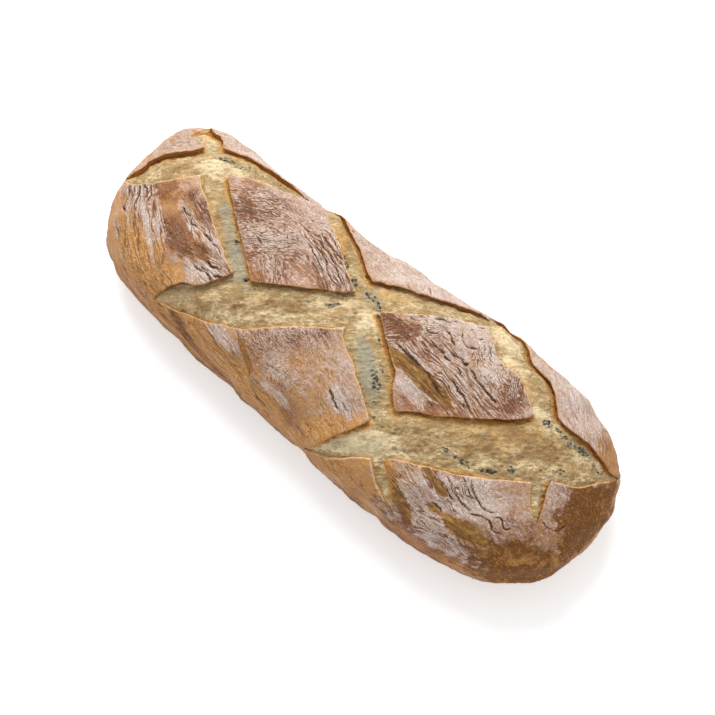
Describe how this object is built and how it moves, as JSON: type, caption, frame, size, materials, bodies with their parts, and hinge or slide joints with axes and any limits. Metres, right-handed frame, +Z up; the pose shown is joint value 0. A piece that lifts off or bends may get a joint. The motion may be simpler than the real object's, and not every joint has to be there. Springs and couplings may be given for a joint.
{
  "type": "sourdough loaf",
  "caption": "Long uncut sourdough loaf with blunt round ends and a flat underside, its floury crust slashed in a crossing diamond pattern that shows the torn crumb.",
  "frame": {"origin": "middle of the loaf's outline, on the surface it rests on", "axes": "+X along the loaf towards its wider end, +Y across it towards the side where the lips of the slashes point away from, +Z up out of the slashed crust"},
  "size_m": [0.3616, 0.1384, 0.0761],
  "materials": {
    "crust": "matt baked crust, red-brown under a thin dusting of flour, golden on the sides; the slashes show pale yellow-beige crumb"
  },
  "bodies": {
    "root": {"loaf": "crust"}
  },
  "joints": []
}
